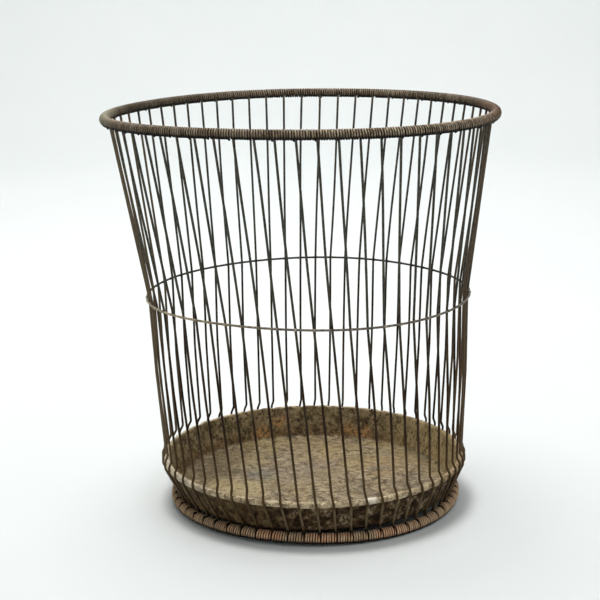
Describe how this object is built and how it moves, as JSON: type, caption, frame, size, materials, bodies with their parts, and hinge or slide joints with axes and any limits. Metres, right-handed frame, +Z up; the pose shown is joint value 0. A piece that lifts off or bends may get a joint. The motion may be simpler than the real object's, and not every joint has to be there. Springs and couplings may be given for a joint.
{
  "type": "fruit picker basket",
  "caption": "Round wire fruit picking basket: close wire uprights wound on to a heavy rim and base hoop, held by a light waist hoop, with a shallow sheet-metal pan in the bottom.",
  "frame": {"origin": "on the floor plane, at the centre of the base hoop", "axes": "+Z up through the basket; +Y away from the side that was pictured, +X to that view's right"},
  "size_m": [0.3517, 0.3514, 0.3629],
  "materials": {
    "upright_wire": "dark brown aged patina, dull, with lighter worn streaks",
    "top_hoop_wire": "dark brown aged patina, hidden under the windings",
    "middle_hoop_wire": "greyish tan, worn lighter than the uprights",
    "base_hoop_wire": "brown patina, hidden under the windings",
    "pan_sheet": "weathered galvanised sheet, mottled grey-tan with rust patches",
    "pan_edge_wire": "plain wire, hidden inside the rolled edge"
  },
  "bodies": {
    "root": {"base_hoop": "base_hoop_wire", "middle_hoop": "middle_hoop_wire", "pan": "pan_sheet", "pan_edge_wire": "pan_edge_wire", "top_hoop": "top_hoop_wire", "upright_pair_01": "upright_wire", "upright_pair_02": "upright_wire", "upright_pair_03": "upright_wire", "upright_pair_04": "upright_wire", "upright_pair_05": "upright_wire", "upright_pair_06": "upright_wire", "upright_pair_07": "upright_wire", "upright_pair_08": "upright_wire", "upright_pair_09": "upright_wire", "upright_pair_10": "upright_wire", "upright_pair_11": "upright_wire", "upright_pair_12": "upright_wire", "upright_pair_13": "upright_wire", "upright_pair_14": "upright_wire", "upright_pair_15": "upright_wire", "upright_pair_16": "upright_wire", "upright_pair_17": "upright_wire", "upright_pair_18": "upright_wire", "upright_pair_19": "upright_wire", "upright_pair_20": "upright_wire", "upright_pair_21": "upright_wire", "upright_pair_22": "upright_wire", "upright_pair_23": "upright_wire", "upright_pair_24": "upright_wire", "upright_pair_25": "upright_wire", "upright_pair_26": "upright_wire", "upright_pair_27": "upright_wire", "upright_pair_28": "upright_wire", "upright_pair_29": "upright_wire", "upright_pair_30": "upright_wire"}
  },
  "joints": []
}
